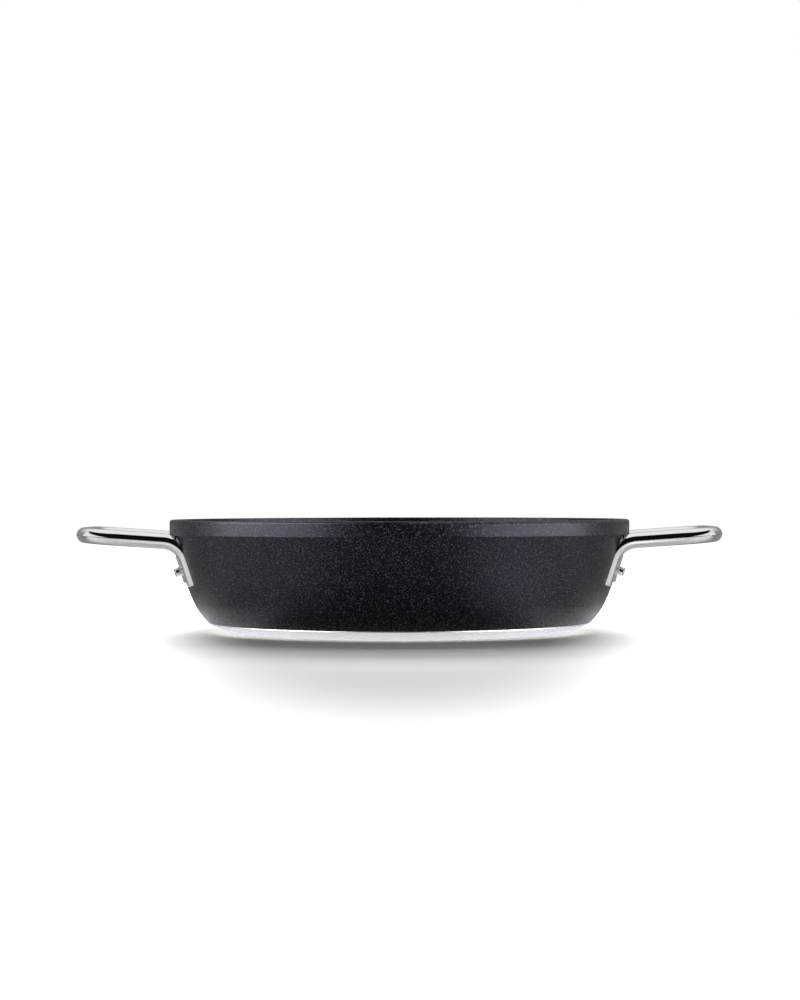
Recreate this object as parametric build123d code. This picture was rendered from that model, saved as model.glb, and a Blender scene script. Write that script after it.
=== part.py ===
from build123d import *
from math import asin, cos, degrees, radians, sin, sqrt, tan
import os

# Two-handled braiser of the 28 cm class: coated aluminium pan, riveted steel loop handles.
# Millimetres, +Z up. The origin is on the pan's axis, at the face that it stands on.
# +X runs through the right handle, and -Y is the front.

# Pan shell: the outside, from the rim down
pan_height = 70.0
rim_radius = 144.0
band_height = 9.5
band_step = 0.9
wall_lean = 17.0
belly_lean = 26.0
heel_lean = 46.0
belly_radius = 110.0
heel_radius = 42.0
flank_height = 6.0
flank_step = 0.6
land_height = 0.6
flank_width = 11.3

# Pan shell: the inside and the lid's seat
wall_thickness = 4.0
base_thickness = 6.8
lip_thickness = 2.5
seat_depth = 5.5

# Pan shell: rounded edges
rim_round = 1.5
rim_inner_round = 0.6
band_edge_round = 0.5
seat_edge_round = 0.5
heel_edge_round = 0.5
foot_round = 0.6

# Steel induction plate, pressed flush into the underside
foot_ring_width = 7.2
plate_thickness = 1.0
plate_bevel = 0.25
press_gap = 0.05
hole_radius = 2.8
first_ring_radius = 25.0
ring_pitch = 13.0
plate_margin = 8.0
first_ring_holes = 8
holes_added_per_ring = 4

# Loop handles, bent from round bar, with the legs ground to the wall
bar_diameter = 9.6
loop_width = 85.5
grip_depth = 56.0
arm_height = 60.75
arm_rise = 4.0
bend_radius = 16.5
corner_radius = 21.0
leg_end_height = 30.5
leg_sink = 2.2
leg_end_round = 0.8
seat_gap = 0.1

# Mounting plates, welded between the legs of each handle
bracket_thickness = 1.3
bracket_bottom = 31.0
bracket_top = 47.5
bracket_bevel = 0.35
weld_gap = 0.05

# Rivets, two to each handle
rivet_spread = 67.0
rivet_diameter = 5.8
rivet_gap = 0.05
tail_length = 4.7
tail_bevel = 0.5
head_diameter = 12.5
head_height = 2.4
head_crown_share = 0.55

# Cuts run past the faces that they leave by this much
overrun = 5.0

# Places worked out from the sizes above
band_bottom = pan_height - band_height
wall_top_radius = rim_radius - band_step
seat_radius = rim_radius - lip_thickness
loop_reach = rim_radius + grip_depth
seat_height = pan_height - seat_depth
bar_radius = bar_diameter / 2
leg_side = loop_width / 2
rivet_height = (bracket_bottom + bracket_top) / 2


def lean_vector(lean):
    """Unit step up the wall where it leans out from the vertical by this angle."""
    return Vector(sin(radians(lean)), cos(radians(lean)))


def inward(lean):
    """Unit step from the outer face into the wall, square to it."""
    return Vector(-cos(radians(lean)), sin(radians(lean)))


def arc_rise(radius, lower_lean, upper_lean):
    """Run and rise of an arc of the wall between two leans."""
    run = radius * (cos(radians(upper_lean)) - cos(radians(lower_lean)))
    rise = radius * (sin(radians(lower_lean)) - sin(radians(upper_lean)))
    return Vector(run, rise)


def wall_marks(inset):
    """Top, belly, heel and foot of the wall line, moved into the wall by inset."""
    heel_arc = arc_rise(heel_radius, heel_lean, belly_lean)
    belly_arc = arc_rise(belly_radius, belly_lean, wall_lean)
    straight_rise = band_bottom - flank_height - heel_arc.Y - belly_arc.Y
    top = Vector(wall_top_radius, band_bottom)
    belly = top - Vector(straight_rise * tan(radians(wall_lean)), straight_rise)
    heel = belly - belly_arc
    foot = heel - heel_arc
    return (
        top + inward(wall_lean) * inset,
        belly + inward(wall_lean) * inset,
        heel + inward(belly_lean) * inset,
        foot + inward(heel_lean) * inset,
    )


def wall_radius(height, inset=0):
    """Radius of the straight part of the wall line at a height."""
    top = wall_marks(inset)[0]
    return top.X - (top.Y - height) * tan(radians(wall_lean))


def revolved(edges):
    """Solid of revolution about the pan's axis from a closed outline in radius and height."""
    outline = make_face(Wire(edges))
    return revolve(Plane.XZ * outline, Axis.Z)


def rings_at(solid, radius, height):
    """Circular edges of a solid that lie on the pan's axis at a radius and a height."""
    near = press_gap / 2
    circles = solid.edges().filter_by(GeomType.CIRCLE)
    level = [edge for edge in circles if abs(edge.arc_center.Z - height) < near]
    return [edge for edge in level if abs(edge.radius - radius) < near]


def pan_envelope(grow):
    """Filled outer shape of the pan, grown by a gap, that the handles are ground to."""
    top, belly, heel, foot = wall_marks(-grow)
    lip_radius = rim_radius + grow
    lip_bottom = band_bottom - grow
    lip_top = pan_height + grow
    corner = Vector(wall_radius(lip_bottom, -grow), lip_bottom)
    return revolved([
        Line((0, foot.Y), (foot.X, foot.Y)),
        TangentArc(foot, heel, tangent=lean_vector(heel_lean)),
        TangentArc(heel, belly, tangent=lean_vector(belly_lean)),
        Line(belly, corner),
        Line(corner, (lip_radius, lip_bottom)),
        Line((lip_radius, lip_bottom), (lip_radius, lip_top)),
        Line((lip_radius, lip_top), (0, lip_top)),
        Line((0, lip_top), (0, foot.Y)),
    ])


def inner_marks(inset):
    """Top, belly, heel and floor edge of the pan's inner line, moved on by inset."""
    depth = wall_thickness + inset
    top, belly, heel, foot = wall_marks(depth)
    ledge = Vector(wall_radius(seat_height, depth), seat_height)
    floor_height = base_thickness + inset
    sweep_radius = (heel.Y - floor_height) / (1 - sin(radians(belly_lean)))
    floor_edge = Vector(heel.X - sweep_radius * cos(radians(belly_lean)), floor_height)
    return ledge, belly, heel, floor_edge


def inner_volume(inset):
    """The hollow of the pan up to the lid's seat, drawn in by a gap."""
    ledge, belly, heel, floor_edge = inner_marks(inset)
    return revolved([
        Line((0, floor_edge.Y), floor_edge),
        TangentArc(floor_edge, heel, tangent=(1, 0)),
        TangentArc(heel, belly, tangent=lean_vector(belly_lean)),
        Line(belly, ledge),
        Line(ledge, (0, ledge.Y)),
        Line((0, ledge.Y), (0, floor_edge.Y)),
    ])


def land_radius():
    """Radius of the turned land at the top of the bare flank."""
    return wall_marks(0)[3].X - flank_step


def foot_radius():
    """Outer radius of the flat face that the pan stands on."""
    return land_radius() - flank_width


def plate_radius():
    """Radius of the induction plate, inside the foot ring."""
    return foot_radius() - foot_ring_width


def hole_pattern():
    """Places of the round holes of the induction plate, ring by ring."""
    places = []
    ring_count = 1 + int((plate_radius() - plate_margin - first_ring_radius) / ring_pitch)
    for ring in range(ring_count):
        radius = first_ring_radius + ring * ring_pitch
        count = first_ring_holes + ring * holes_added_per_ring
        start = 180 / count * (ring % 2)
        places += list(PolarLocations(radius, count, start_angle=start))
    return places


def perforated_disc(radius, hole):
    """Flat face of the induction plate, with its holes."""
    return Circle(radius) - [place * Circle(hole) for place in hole_pattern()]


def induction_plate():
    """Pressed steel disc: its lower face is turned flush with the pan's foot."""
    disc = extrude(perforated_disc(plate_radius(), hole_radius), plate_thickness)
    return chamfer(rings_at(disc, plate_radius(), plate_thickness), plate_bevel)


def rivet_planes(side):
    """Planes on the outer face of the wall, one to each rivet, front first, facing out."""
    radius = wall_radius(rivet_height)
    azimuth = degrees(asin(rivet_spread / 2 / radius))
    planes = []
    for turn in (-azimuth, azimuth):
        bearing = radians(turn)
        outward = Vector(cos(bearing), sin(bearing), 0)
        normal = outward * cos(radians(wall_lean)) - Vector(0, 0, sin(radians(wall_lean)))
        origin = outward * radius + Vector(0, 0, rivet_height)
        along = Vector(-sin(bearing), cos(bearing), 0)
        planes.append(Plane(
            origin=(side * origin.X, origin.Y, origin.Z),
            x_dir=(side * along.X, along.Y, 0),
            z_dir=(side * normal.X, normal.Y, normal.Z),
        ))
    return planes


def rivet_hole(plane):
    """Cutter for the drilled hole that a rivet passes through."""
    drill = Cylinder(rivet_diameter / 2 + rivet_gap, 2 * (wall_thickness + overrun))
    return plane * drill


def pan_body():
    """Cast shell with its rim band, lid seat, base recess and drilled wall."""
    top, belly, heel, foot = wall_marks(0)
    ledge, inner_belly, inner_heel, floor_edge = inner_marks(0)
    land = land_radius()
    land_bottom = flank_height - land_height
    ring = foot_radius()
    recess_radius = plate_radius() + press_gap
    shell = revolved([
        Line((recess_radius, 0), (ring, 0)),
        Line((ring, 0), (land, land_bottom)),
        Line((land, land_bottom), (land, flank_height)),
        Line((land, flank_height), foot),
        TangentArc(foot, heel, tangent=lean_vector(heel_lean)),
        TangentArc(heel, belly, tangent=lean_vector(belly_lean)),
        Line(belly, top),
        Line(top, (rim_radius, band_bottom)),
        Line((rim_radius, band_bottom), (rim_radius, pan_height)),
        Line((rim_radius, pan_height), (seat_radius, pan_height)),
        Line((seat_radius, pan_height), (seat_radius, seat_height)),
        Line((seat_radius, seat_height), ledge),
        Line(ledge, inner_belly),
        TangentArc(inner_belly, inner_heel, tangent=lean_vector(wall_lean) * -1),
        TangentArc(inner_heel, floor_edge, tangent=lean_vector(belly_lean) * -1),
        Line(floor_edge, (0, base_thickness)),
        Line((0, base_thickness), (0, plate_thickness)),
        Line((0, plate_thickness), (recess_radius, plate_thickness)),
        Line((recess_radius, plate_thickness), (recess_radius, 0)),
    ])
    shell = fillet(rings_at(shell, rim_radius, pan_height), rim_round)
    shell = fillet(rings_at(shell, seat_radius, pan_height), rim_inner_round)
    shell = fillet(rings_at(shell, rim_radius, band_bottom), band_edge_round)
    shell = fillet(rings_at(shell, ledge.X, seat_height), seat_edge_round)
    shell = fillet(rings_at(shell, foot.X, flank_height), heel_edge_round)
    shell = fillet(rings_at(shell, ring, 0), foot_round)
    pegs = [place * Circle(hole_radius - press_gap) for place in hole_pattern()]
    shell += extrude(Sketch() + pegs, plate_thickness)
    holes = [rivet_hole(plane) for side in (-1, 1) for plane in rivet_planes(side)]
    return shell - holes


def wall_offset_at_leg(height):
    """Distance in X of the wall's outer face, at the side where a leg stands."""
    return sqrt(wall_radius(height) ** 2 - leg_side ** 2)


def bar_path():
    """Centre line of the right handle's bar, from the front leg's end to the rear one's."""
    tip = loop_reach - bar_radius
    low = Vector(wall_offset_at_leg(leg_end_height) - leg_sink, leg_end_height)
    high = Vector(wall_offset_at_leg(band_bottom) - leg_sink, band_bottom)
    leg_slope = (high.X - low.X) / (high.Y - low.Y)
    arm_slope = tan(radians(arm_rise))
    elbow_height = (
        (arm_height - arm_slope * (tip - low.X + leg_slope * low.Y))
        / (1 - arm_slope * leg_slope)
    )
    elbow_x = low.X + leg_slope * (elbow_height - low.Y)
    corners = [
        (low.X, -leg_side, low.Y),
        (elbow_x, -leg_side, elbow_height),
        (tip, -leg_side, arm_height),
        (tip, leg_side, arm_height),
        (elbow_x, leg_side, elbow_height),
        (low.X, leg_side, low.Y),
    ]
    radii = [bend_radius, corner_radius, corner_radius, bend_radius]
    return FilletPolyline(*corners, radius=radii)


def round_bar(radius):
    """Bent bar of the right handle, before its legs are ground."""
    path = bar_path()
    start = Plane(origin=path @ 0, z_dir=path % 0)
    return sweep(start * Circle(radius), path=path)


def handle():
    """Right loop handle: round bar, with the backs of the legs ground to the wall."""
    bar = round_bar(bar_radius)
    ends = bar.edges().filter_by(GeomType.CIRCLE).sort_by(Axis.Z)[:2]
    bar = fillet(ends, leg_end_round)
    return bar - pan_envelope(seat_gap)


def mounting_plate():
    """Right mounting plate: curved strip, cut to the legs that it is welded between."""
    inner = -seat_gap
    outer = -seat_gap - bracket_thickness
    strip = revolved([
        Line((wall_radius(bracket_bottom, inner), bracket_bottom),
             (wall_radius(bracket_bottom, outer), bracket_bottom)),
        Line((wall_radius(bracket_bottom, outer), bracket_bottom),
             (wall_radius(bracket_top, outer), bracket_top)),
        Line((wall_radius(bracket_top, outer), bracket_top),
             (wall_radius(bracket_top, inner), bracket_top)),
        Line((wall_radius(bracket_top, inner), bracket_top),
             (wall_radius(bracket_bottom, inner), bracket_bottom)),
    ])
    rims = rings_at(strip, wall_radius(bracket_bottom, outer), bracket_bottom)
    rims += rings_at(strip, wall_radius(bracket_top, outer), bracket_top)
    strip = chamfer(rims, bracket_bevel)
    reach = rim_radius + overrun
    between_legs = Pos(reach / 2, 0, pan_height / 2) * Box(reach, loop_width, pan_height)
    plate = (strip & between_legs) - round_bar(bar_radius + weld_gap)
    return plate - [rivet_hole(plane) for plane in rivet_planes(1)]


def rivet(plane):
    """Rivet: crowned head inside the pan, shank through wall and plate, bevelled tail."""
    shank_radius = rivet_diameter / 2
    shank_top = seat_gap + bracket_thickness + tail_length
    head_top = -wall_thickness - head_height
    shank = Pos(0, 0, head_top) * Cylinder(
        shank_radius, shank_top - head_top,
        align=(Align.CENTER, Align.CENTER, Align.MIN),
    )
    shank -= Pos(0, 0, head_top) * Cylinder(
        shank_radius, head_height / 2,
        align=(Align.CENTER, Align.CENTER, Align.MIN),
    )
    shank = chamfer(shank.edges().sort_by(Axis.Z)[-1], tail_bevel)
    head = Pos(0, 0, head_top) * Cylinder(
        head_diameter / 2, head_height + wall_thickness / 2,
        align=(Align.CENTER, Align.CENTER, Align.MIN),
    )
    head = fillet(head.edges().sort_by(Axis.Z)[0], head_height * head_crown_share)
    return (plane * shank) + ((plane * head) & inner_volume(seat_gap / 2))


def left(solid):
    """The left-hand copy of a right-hand piece."""
    return mirror(solid, about=Plane.YZ)


def write(name, shape):
    """Store one piece under its own name."""
    export_step(shape, f"parts/{name}.step")


os.makedirs("parts", exist_ok=True)
write("pan_body", pan_body())
write("induction_plate", induction_plate())
right_handle = handle()
write("right_handle", right_handle)
write("left_handle", left(right_handle))
right_plate = mounting_plate()
write("right_mounting_plate", right_plate)
write("left_mounting_plate", left(right_plate))
for side, hand in ((-1, "left"), (1, "right")):
    for plane, row in zip(rivet_planes(side), ("front", "rear")):
        write(f"{hand}_{row}_rivet", rivet(plane))
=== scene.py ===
from math import atan2, cos, pi, radians, sin

import bpy
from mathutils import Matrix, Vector

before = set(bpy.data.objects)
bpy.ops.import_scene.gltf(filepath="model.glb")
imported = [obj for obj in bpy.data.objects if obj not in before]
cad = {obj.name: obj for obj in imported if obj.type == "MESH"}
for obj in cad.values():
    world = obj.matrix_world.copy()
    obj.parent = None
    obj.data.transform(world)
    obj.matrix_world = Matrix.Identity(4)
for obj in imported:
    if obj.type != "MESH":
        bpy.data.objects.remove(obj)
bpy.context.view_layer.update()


# Pan body: one cast aluminium shell, turned to size. It is sprayed inside and out with a
# near-black non-stick coating full of fine mineral specks. The flank of the foot and the
# underside are turned bare after coating, so the metal shows there in fine rings.
def add_node(tree, kind, **settings):
    """Shader node with its properties set; a name with a leading capital sets a socket."""
    node = tree.nodes.new(kind)
    for name, value in settings.items():
        if name[0].isupper():
            node.inputs[name.replace("_", " ")].default_value = value
        else:
            setattr(node, name, value)
    return node


def value_maths(tree, operation, first, second=None):
    """Output of a Math node; each operand is a number or another node's output."""
    node = add_node(tree, "ShaderNodeMath", operation=operation)
    for slot, operand in enumerate((first, second)):
        if isinstance(operand, (int, float)):
            node.inputs[slot].default_value = operand
        elif operand is not None:
            tree.links.new(operand, node.inputs[slot])
    return node.outputs[0]


def multiply(tree, first, *others):
    """Product of two or more values."""
    for other in others:
        first = value_maths(tree, "MULTIPLY", first, other)
    return first


def distance(tree, across, along):
    """Distance over two offsets at right angles to each other."""
    squares = value_maths(
        tree, "ADD",
        multiply(tree, across, across),
        multiply(tree, along, along),
    )
    return value_maths(tree, "SQRT", squares)


def ramp_between(tree, value, start, end, low=0.0, high=1.0):
    """Smooth rise from low to high as a value passes from start to end."""
    node = add_node(tree, "ShaderNodeMapRange", interpolation_type="SMOOTHSTEP")
    tree.links.new(value, node.inputs["Value"])
    for name, number in (("From Min", start), ("From Max", end), ("To Min", low), ("To Max", high)):
        node.inputs[name].default_value = number
    return node.outputs["Result"]


def blend_colours(tree, mask, first, second):
    """Colour that goes from first to second as the mask rises."""
    node = add_node(tree, "ShaderNodeMix", data_type="RGBA", clamp_factor=True)
    tree.links.new(mask, node.inputs["Factor"])
    for socket, colour in ((node.inputs[6], first), (node.inputs[7], second)):
        if isinstance(colour, tuple):
            socket.default_value = (*colour, 1.0)
        else:
            tree.links.new(colour, socket)
    return node.outputs[2]


def blend_values(tree, mask, first, second):
    """Value that goes from first to second as the mask rises."""
    node = add_node(tree, "ShaderNodeMix", data_type="FLOAT", clamp_factor=True)
    tree.links.new(mask, node.inputs["Factor"])
    for socket, value in ((node.inputs[2], first), (node.inputs[3], second)):
        if isinstance(value, (int, float)):
            socket.default_value = value
        else:
            tree.links.new(value, socket)
    return node.outputs[0]


def new_group(name, inputs, outputs):
    """Empty shader node group with named sockets, and its input and output nodes."""
    tree = bpy.data.node_groups.new(name, "ShaderNodeTree")
    for socket_name, kind, start in inputs:
        socket = tree.interface.new_socket(socket_name, in_out="INPUT", socket_type=kind)
        if start is not None:
            socket.default_value = start
    for socket_name, kind in outputs:
        tree.interface.new_socket(socket_name, in_out="OUTPUT", socket_type=kind)
    return tree, tree.nodes.new("NodeGroupInput"), tree.nodes.new("NodeGroupOutput")


def place_group(tree, group, place, **settings):
    """The group as a node of a material, fed with a place and its own values."""
    node = add_node(tree, "ShaderNodeGroup", node_tree=group)
    tree.links.new(place, node.inputs["Place"])
    for name, value in settings.items():
        node.inputs[name.replace("_", " ")].default_value = value
    return node


def new_material(name, **settings):
    """Material with a Principled surface; returns it with its tree, surface and place."""
    material = bpy.data.materials.new(name)
    material.use_nodes = True
    tree = material.node_tree
    surface = tree.nodes["Principled BSDF"]
    for socket, value in settings.items():
        surface.inputs[socket.replace("_", " ")].default_value = value
    place = tree.nodes.new("ShaderNodeTexCoord").outputs["Object"]
    return material, tree, surface, place


def feed_normal(tree, surface, height, strength, depth):
    """Bump from a height mask into a surface's normal."""
    bump = add_node(tree, "ShaderNodeBump", Strength=strength, Distance=depth)
    tree.links.new(height, bump.inputs["Height"])
    tree.links.new(bump.outputs["Normal"], surface.inputs["Normal"])


def dress(node_name, material):
    """Gives a piece of the frame its material."""
    slots = cad[node_name].data.materials
    slots.clear()
    slots.append(material)


def make_specks_group():
    """Mineral specks: sparse bright grains over a fine mottle, each as a mask."""
    cells_per_grain = 0.5
    grain_edge = (0.42, 0.12)
    grain_choice = (0.30, 1.0)
    mottle_per_grain = 0.8
    mottle_edge = (0.50, 0.74)
    tree, given, result = new_group(
        "mineral_specks",
        [("Place", "NodeSocketVector", None), ("Grain Size", "NodeSocketFloat", 0.0008)],
        [("Grains", "NodeSocketFloat"), ("Mottle", "NodeSocketFloat")],
    )
    per_metre = value_maths(tree, "DIVIDE", 1.0, given.outputs["Grain Size"])
    cells = add_node(tree, "ShaderNodeTexVoronoi", feature="F1", Randomness=1.0)
    tree.links.new(given.outputs["Place"], cells.inputs["Vector"])
    tree.links.new(multiply(tree, per_metre, cells_per_grain), cells.inputs["Scale"])
    near_centre = ramp_between(tree, cells.outputs["Distance"], *grain_edge)
    pick = add_node(tree, "ShaderNodeSeparateColor")
    tree.links.new(cells.outputs["Color"], pick.inputs["Color"])
    chosen = ramp_between(tree, pick.outputs["Red"], *grain_choice)
    grains = multiply(tree, near_centre, chosen)
    mottle = add_node(tree, "ShaderNodeTexNoise", Detail=2.0, Roughness=0.6)
    tree.links.new(given.outputs["Place"], mottle.inputs["Vector"])
    tree.links.new(multiply(tree, per_metre, mottle_per_grain), mottle.inputs["Scale"])
    tree.links.new(grains, result.inputs["Grains"])
    tree.links.new(ramp_between(tree, mottle.outputs["Fac"], *mottle_edge), result.inputs["Mottle"])
    return tree


def make_turned_group():
    """Turned metal: fine rings about the pan's axis and a broad drift, each as a mask."""
    drift_per_ring = 0.07
    tree, given, result = new_group(
        "turned_rings",
        [("Place", "NodeSocketVector", None), ("Pitch", "NodeSocketFloat", 0.0003)],
        [("Rings", "NodeSocketFloat"), ("Drift", "NodeSocketFloat")],
    )
    split = tree.nodes.new("ShaderNodeSeparateXYZ")
    tree.links.new(given.outputs["Place"], split.inputs["Vector"])
    radius = distance(tree, split.outputs["X"], split.outputs["Y"])
    along = value_maths(tree, "ADD", radius, split.outputs["Z"])
    per_metre = value_maths(tree, "DIVIDE", 1.0, given.outputs["Pitch"])
    fine = add_node(tree, "ShaderNodeTexNoise", noise_dimensions="1D", Detail=2.0, Roughness=0.8)
    tree.links.new(along, fine.inputs["W"])
    tree.links.new(per_metre, fine.inputs["Scale"])
    broad = add_node(tree, "ShaderNodeTexNoise", noise_dimensions="1D", Detail=1.0)
    tree.links.new(along, broad.inputs["W"])
    tree.links.new(multiply(tree, per_metre, drift_per_ring), broad.inputs["Scale"])
    tree.links.new(fine.outputs["Fac"], result.inputs["Rings"])
    tree.links.new(broad.outputs["Fac"], result.inputs["Drift"])
    return tree


specks_group = make_specks_group()
turned_group = make_turned_group()

bare_flank_top = 0.00597
coating_dark = (0.0001, 0.0001, 0.0008)
coating_pale = (0.122, 0.122, 0.158)
grain_colour = (0.20, 0.20, 0.22)
turned_metal = (0.84, 0.828, 0.775)
coating_roughness = (0.31, 0.34)
turned_drift = (0.3, 0.7)
turned_roughness = (0.24, 0.34)

coated, tree, surface, place = new_material(
    "coated_aluminium",
    Specular_IOR_Level=0.28,
    Specular_Tint=(0.75, 0.77, 1.0, 1.0),
)
specks = place_group(tree, specks_group, place, Grain_Size=0.0006)
rings = place_group(tree, turned_group, place, Pitch=0.00025)
height_in_body = tree.nodes.new("ShaderNodeSeparateXYZ")
tree.links.new(place, height_in_body.inputs["Vector"])
bare = value_maths(tree, "LESS_THAN", height_in_body.outputs["Z"], bare_flank_top)
coating = blend_colours(tree, specks.outputs["Mottle"], coating_dark, coating_pale)
coating = blend_colours(tree, specks.outputs["Grains"], coating, grain_colour)
tree.links.new(blend_colours(tree, bare, coating, turned_metal), surface.inputs["Base Color"])
tree.links.new(bare, surface.inputs["Metallic"])
satin = ramp_between(tree, specks.outputs["Mottle"], 0.0, 1.0, *coating_roughness)
turned = ramp_between(tree, rings.outputs["Drift"], *turned_drift, *turned_roughness)
tree.links.new(blend_values(tree, bare, satin, turned), surface.inputs["Roughness"])
grit = value_maths(tree, "ADD", specks.outputs["Mottle"], specks.outputs["Grains"])
relief = blend_values(tree, bare, grit, rings.outputs["Rings"])
feed_normal(tree, surface, relief, strength=0.6, depth=0.00008)
dress("pan_body", coated)


# Induction plate: a punched disc of ferritic stainless steel, pressed into the underside
# so that the pan heats on an induction hob. It is turned flush with the foot.
disc_dark = (0.50, 0.49, 0.47)
disc_pale = (0.66, 0.65, 0.63)
disc_rings = (0.2, 0.8)
disc_roughness = (0.24, 0.38)

steel_disc, tree, surface, place = new_material("turned_steel", Metallic=1.0)
rings = place_group(tree, turned_group, place, Pitch=0.00035)
disc_shade = blend_colours(tree, rings.outputs["Drift"], disc_dark, disc_pale)
tree.links.new(disc_shade, surface.inputs["Base Color"])
disc_gloss = ramp_between(tree, rings.outputs["Rings"], *disc_rings, *disc_roughness)
tree.links.new(disc_gloss, surface.inputs["Roughness"])
feed_normal(tree, surface, rings.outputs["Rings"], strength=0.4, depth=0.00005)
dress("induction_plate", steel_disc)


# Loop handles: one length of round stainless bar each, bent cold and mirror polished. The
# backs of the legs are ground to the wall, where the mounting plates hold them.
def make_polish_group():
    """Polishing marks: faint cloudiness and hairlines, as masks for roughness and height."""
    hairline_stretch = (1.0, 14.0, 14.0)
    hairlines_per_mark = 0.6
    tree, given, result = new_group(
        "polish_marks",
        [("Place", "NodeSocketVector", None), ("Mark Size", "NodeSocketFloat", 0.004)],
        [("Haze", "NodeSocketFloat"), ("Hairlines", "NodeSocketFloat")],
    )
    per_metre = value_maths(tree, "DIVIDE", 1.0, given.outputs["Mark Size"])
    haze = add_node(tree, "ShaderNodeTexNoise", Detail=4.0, Roughness=0.6)
    tree.links.new(given.outputs["Place"], haze.inputs["Vector"])
    tree.links.new(per_metre, haze.inputs["Scale"])
    stretch = add_node(tree, "ShaderNodeMapping", Scale=hairline_stretch)
    tree.links.new(given.outputs["Place"], stretch.inputs["Vector"])
    lines = add_node(tree, "ShaderNodeTexNoise", Detail=3.0, Roughness=0.7)
    tree.links.new(stretch.outputs["Vector"], lines.inputs["Vector"])
    tree.links.new(multiply(tree, per_metre, hairlines_per_mark), lines.inputs["Scale"])
    tree.links.new(haze.outputs["Fac"], result.inputs["Haze"])
    tree.links.new(lines.outputs["Fac"], result.inputs["Hairlines"])
    return tree


polish_group = make_polish_group()
haze_span = (0.3, 0.75)
hairline_depth = 0.00002


def steel_finish(name, dark, pale, smooth, dull, mark_size, relief):
    """Stainless steel with polishing marks: two shades, two roughnesses and a slight relief."""
    material, tree, surface, place = new_material(name, Metallic=1.0)
    marks = place_group(tree, polish_group, place, Mark_Size=mark_size)
    shade = blend_colours(tree, marks.outputs["Haze"], dark, pale)
    tree.links.new(shade, surface.inputs["Base Color"])
    gloss = ramp_between(tree, marks.outputs["Haze"], *haze_span, smooth, dull)
    tree.links.new(gloss, surface.inputs["Roughness"])
    feed_normal(tree, surface, marks.outputs["Hairlines"], relief, hairline_depth)
    return material


polished = steel_finish(
    "polished_steel",
    dark=(0.74, 0.74, 0.74),
    pale=(0.80, 0.80, 0.80),
    smooth=0.05,
    dull=0.10,
    mark_size=0.004,
    relief=0.05,
)
for side in ("left", "right"):
    dress(f"{side}_handle", polished)


# Mounting plates: bright rolled stainless strip, curved to the wall and welded between the
# legs of each handle, so that the rivets pull both legs onto the pan.
rolled = steel_finish(
    "sheet_steel",
    dark=(0.62, 0.62, 0.62),
    pale=(0.70, 0.70, 0.70),
    smooth=0.16,
    dull=0.26,
    mark_size=0.003,
    relief=0.25,
)
for side in ("left", "right"):
    dress(f"{side}_mounting_plate", rolled)


# Rivets: solid stainless, two to a handle. The crowned head is inside the pan, and the
# bevelled tail stands out of the mounting plate.
riveted = steel_finish(
    "rivet_steel",
    dark=(0.64, 0.64, 0.64),
    pale=(0.72, 0.72, 0.72),
    smooth=0.14,
    dull=0.24,
    mark_size=0.0015,
    relief=0.2,
)
for side in ("left", "right"):
    for row in ("front", "rear"):
        dress(f"{side}_{row}_rivet", riveted)


# Floor: a pale, matt table top that goes on past the view. Near the pan it shows the real
# light and shadow; further out a white glow painted for the camera alone hides it and trims the
# shadow's sides. Reflections see its front and back painted dark, and painted glows that put
# highlights on the pan's flank, wall and heel. It is open under the pan's base.
floor_level = -0.0002
floor_half = 4.0
floor_shade = (0.90, 0.90, 0.90, 1.0)
painted_dark_shade = (0.04, 0.04, 0.04, 1.0)
open_radius = 0.105
# Painted light: a white glow for the camera alone. It is evenly white further out, and its oval
# trims the sides of the shadow.
shadow_reach = (0.38, 0.88)
shadow_narrowing = 4.7
# Painted dark reflection: for reflections alone, the floor's front and back become a dark sheet.
dark_front = (-0.60, -0.20)
dark_rear = (-0.08, 0.02)
dark_rear_depth = 0.75
dark_rear_round = (0.14, 0.20)
# Painted highlights: white glows on the floor that only reflections see. They are not lamps.
painted_ring_span = (0.106, 0.1185)
painted_ring_strength = 0.47
painted_side_spot = (0.125, -0.145)
painted_side_fade = (0.085, 0.02)
painted_side_strength = (0.45, 1.0)
painted_heel_fade = (0.152, 0.134)
painted_heel_side = (0.072, 0.102)
painted_heel_strength = 0.65

floor_mesh = bpy.data.meshes.new("floor")
floor_mesh.from_pydata(
    [(x * floor_half, y * floor_half, floor_level) for x, y in ((-1, -1), (1, -1), (1, 1), (-1, 1))],
    [],
    [(0, 1, 2, 3)],
)
floor = bpy.data.objects.new("floor", floor_mesh)
bpy.context.scene.collection.objects.link(floor)


def mix_shaders(tree, mask, first, second):
    """Shader that goes from first to second as the mask rises."""
    node = tree.nodes.new("ShaderNodeMixShader")
    tree.links.new(mask, node.inputs["Fac"])
    tree.links.new(first, node.inputs[1])
    tree.links.new(second, node.inputs[2])
    return node.outputs["Shader"]


table, tree, surface, place = new_material(
    "pale_table",
    Base_Color=floor_shade,
    Specular_IOR_Level=0.0,
    Roughness=1.0,
)
light_path = tree.nodes.new("ShaderNodeLightPath")
to_camera = light_path.outputs["Is Camera Ray"]
to_gloss = light_path.outputs["Is Glossy Ray"]
on_table = tree.nodes.new("ShaderNodeSeparateXYZ")
tree.links.new(place, on_table.inputs["Vector"])
to_right = on_table.outputs["X"]
to_back = on_table.outputs["Y"]
from_middle = value_maths(tree, "ABSOLUTE", to_right)
from_axis = distance(tree, to_right, to_back)

# Painted highlights seen only in reflections: a thin ring round the foot for the flank, a spot to
# each side in front for the wall, and glows by the heels.
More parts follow.
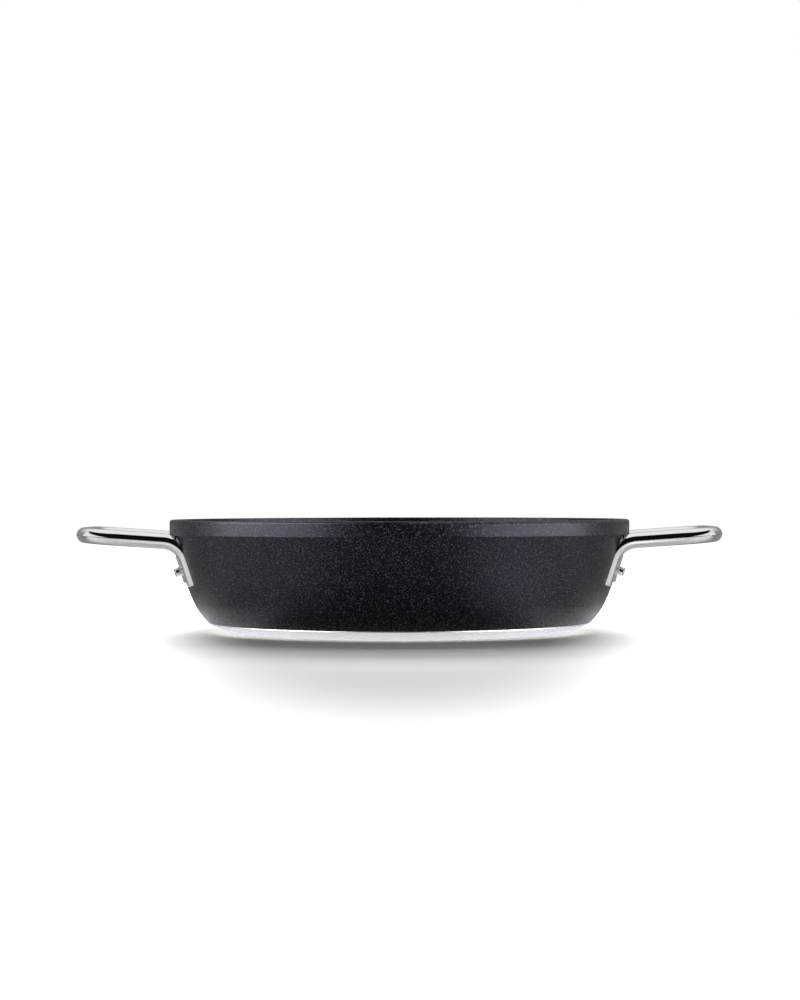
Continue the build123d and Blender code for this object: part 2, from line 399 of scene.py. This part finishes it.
painted_ring_glow = multiply(
    tree,
    value_maths(tree, "GREATER_THAN", from_axis, painted_ring_span[0]),
    value_maths(tree, "LESS_THAN", from_axis, painted_ring_span[1]),
    painted_ring_strength,
)
from_painted_side_spot = distance(
    tree,
    value_maths(tree, "SUBTRACT", from_middle, painted_side_spot[0]),
    value_maths(tree, "SUBTRACT", to_back, painted_side_spot[1]),
)
on_right = value_maths(tree, "GREATER_THAN", to_right, 0.0)
painted_side_glow = multiply(
    tree,
    ramp_between(tree, from_painted_side_spot, *painted_side_fade),
    blend_values(tree, on_right, *painted_side_strength),
)
painted_heel_glow = multiply(
    tree,
    ramp_between(tree, from_axis, *painted_heel_fade),
    ramp_between(tree, from_middle, *painted_heel_side),
    value_maths(tree, "GREATER_THAN", from_axis, painted_ring_span[1]),
    painted_heel_strength,
)
painted_highlights = value_maths(tree, "ADD", value_maths(tree, "ADD", painted_ring_glow, painted_side_glow), painted_heel_glow)
# Painted light over the shadow: past this oval, camera rays see a white glow.
from_shadow = distance(tree, multiply(tree, to_right, shadow_narrowing), to_back)
painted_white_beyond = multiply(tree, ramp_between(tree, from_shadow, *shadow_reach), to_camera)
strength = value_maths(tree, "ADD", painted_white_beyond, multiply(tree, painted_highlights, to_gloss))
glow = tree.nodes.new("ShaderNodeEmission")
tree.links.new(strength, glow.inputs["Strength"])
lit = tree.nodes.new("ShaderNodeAddShader")
tree.links.new(surface.outputs["BSDF"], lit.inputs[0])
tree.links.new(glow.outputs["Emission"], lit.inputs[1])

# Painted dark reflection: here reflections see a dark sheet in place of the lit floor.
in_front = ramp_between(tree, to_back, *dark_front, 1.0, 0.0)
behind = multiply(
    tree,
    ramp_between(tree, to_back, *dark_rear, 0.0, dark_rear_depth),
    ramp_between(tree, from_axis, *dark_rear_round),
)
painted_dark_reflection = multiply(tree, value_maths(tree, "MAXIMUM", in_front, behind), to_gloss)
painted_dark_floor = add_node(tree, "ShaderNodeBsdfDiffuse", Color=painted_dark_shade)
table_top = mix_shaders(tree, painted_dark_reflection, lit.outputs["Shader"], painted_dark_floor.outputs["BSDF"])
geometry = tree.nodes.new("ShaderNodeNewGeometry")
under_pan = value_maths(tree, "LESS_THAN", from_axis, open_radius)
see_through = value_maths(tree, "MAXIMUM", geometry.outputs["Backfacing"], under_pan)
clear = tree.nodes.new("ShaderNodeBsdfTransparent")
table_top = mix_shaders(tree, see_through, table_top, clear.outputs["BSDF"])
tree.links.new(table_top, tree.nodes["Material Output"].inputs["Surface"])
floor_mesh.materials.append(table)


# Studio: a white room. In reflections it has dusk at the back and a dark belt from the front
# up to both sides, for the bar's black line. Two soft boxes at the back cast the shadow, and
# one on each side lights the coating's sheen only. A glow of 1 is as bright as white.
room_glow = 0.20
belt_glow = 0.004
belt_lean = 0.5
belt_foot = (-17.0, -9.0)
belt_narrowing = 0.15
belt_top = (61.0, 68.0)
belt_end = (120.0, 165.0)
dusk_glow = 0.3
dusk_bearing = (100.0, 112.0)
dusk_rise = (14.0, 50.0)
dusk_foot = (-12.0, -4.0)
lamp_aim = Vector((0.0, 0.0, 0.04))

white_room = bpy.data.worlds.new("white_room")
bpy.context.scene.world = white_room
white_room.use_nodes = True
tree = white_room.node_tree
background = tree.nodes["Background"]
background.inputs["Color"].default_value = (1.0, 1.0, 1.0, 1.0)
aim = tree.nodes.new("ShaderNodeSeparateXYZ")
tree.links.new(tree.nodes.new("ShaderNodeTexCoord").outputs["Generated"], aim.inputs["Vector"])
rise = value_maths(tree, "DEGREES", value_maths(tree, "ARCSINE", aim.outputs["Z"]))
towards_front = multiply(tree, aim.outputs["Y"], -1.0)
bearing = value_maths(tree, "ARCTAN2", aim.outputs["X"], towards_front)
bearing = value_maths(tree, "ABSOLUTE", value_maths(tree, "DEGREES", bearing))
from_foot = value_maths(tree, "SUBTRACT", rise, multiply(tree, bearing, belt_lean))
to_top = value_maths(tree, "ADD", rise, multiply(tree, bearing, belt_narrowing))
belt = multiply(
    tree,
    ramp_between(tree, from_foot, *belt_foot),
    ramp_between(tree, to_top, *belt_top, 1.0, 0.0),
    ramp_between(tree, bearing, *belt_end, 1.0, 0.0),
)
dusk = multiply(
    tree,
    ramp_between(tree, rise, *dusk_foot),
    ramp_between(tree, rise, *dusk_rise, 1.0, 0.0),
    ramp_between(tree, bearing, *dusk_bearing),
)
mirrored = blend_values(tree, dusk, 1.0, dusk_glow)
mirrored = blend_values(tree, belt, mirrored, belt_glow)
light_path = tree.nodes.new("ShaderNodeLightPath")
room = blend_values(tree, light_path.outputs["Is Glossy Ray"], room_glow, mirrored)
seen = value_maths(
    tree, "MAXIMUM",
    light_path.outputs["Is Camera Ray"],
    light_path.outputs["Is Transmission Ray"],
)
tree.links.new(blend_values(tree, seen, room, 1.0), background.inputs["Strength"])


def soft_box(name, bearing, rise, reach, width, height, glow):
    """Rectangular lamp, turned to the pan, at a bearing from the front and a rise."""
    lamp = bpy.data.lights.new(name, "AREA")
    lamp.shape = "RECTANGLE"
    lamp.size = width
    lamp.size_y = height
    lamp.energy = glow * pi * width * height
    box = bpy.data.objects.new(name, lamp)
    flat = reach * cos(radians(rise))
    turn = radians(bearing)
    offset = Vector((flat * sin(turn), -flat * cos(turn), reach * sin(radians(rise))))
    box.location = lamp_aim + offset
    box.rotation_euler = (-offset).to_track_quat("-Z", "Y").to_euler()
    box.visible_camera = False
    bpy.context.scene.collection.objects.link(box)
    return box


back_boxes = (
    soft_box("high_box", bearing=180.0, rise=52.0, reach=1.6, width=1.6, height=1.0, glow=3.0),
    soft_box("back_box", bearing=180.0, rise=30.0, reach=1.7, width=1.7, height=0.4, glow=15.5),
)
for box in back_boxes:
    box.visible_glossy = False
side_boxes = [
    soft_box(name, bearing=turn, rise=20.0, reach=1.4, width=1.68, height=1.02, glow=8.5)
    for name, turn in (("left_box", -67.0), ("right_box", 67.0))
]
coated_pieces = bpy.data.collections.new("coated_pieces")
coated_pieces.objects.link(cad["pan_body"])
for box in side_boxes:
    box.visible_diffuse = False
    box.light_linking.receiver_collection = coated_pieces


# Camera: level with a point just above the rim, as the photograph was taken. Its distance
# and height are fitted to the ellipses of the rim, the band and the foot.
sensor_width = 36.0
frame_long_side = 1000.0
focal_pixels = 2352.0
axis_pixel = (399.4, 498.1)
frame_middle = (400.0, 500.0)
camera_distance = 1.48
camera_height = 0.0833
camera_roll = 0.1

eye = bpy.data.cameras.new("camera")
eye.sensor_width = sensor_width
eye.lens = sensor_width * focal_pixels / frame_long_side
camera = bpy.data.objects.new("camera", eye)
side_step = (frame_middle[0] - axis_pixel[0]) / focal_pixels * camera_distance
camera.location = (side_step, -camera_distance, camera_height)
tip_down = atan2(frame_middle[1] - axis_pixel[1], focal_pixels)
camera.rotation_euler = (pi / 2 - tip_down, radians(camera_roll), 0.0)
bpy.context.scene.collection.objects.link(camera)
bpy.context.scene.camera = camera
bpy.context.scene.view_settings.view_transform = "Standard"
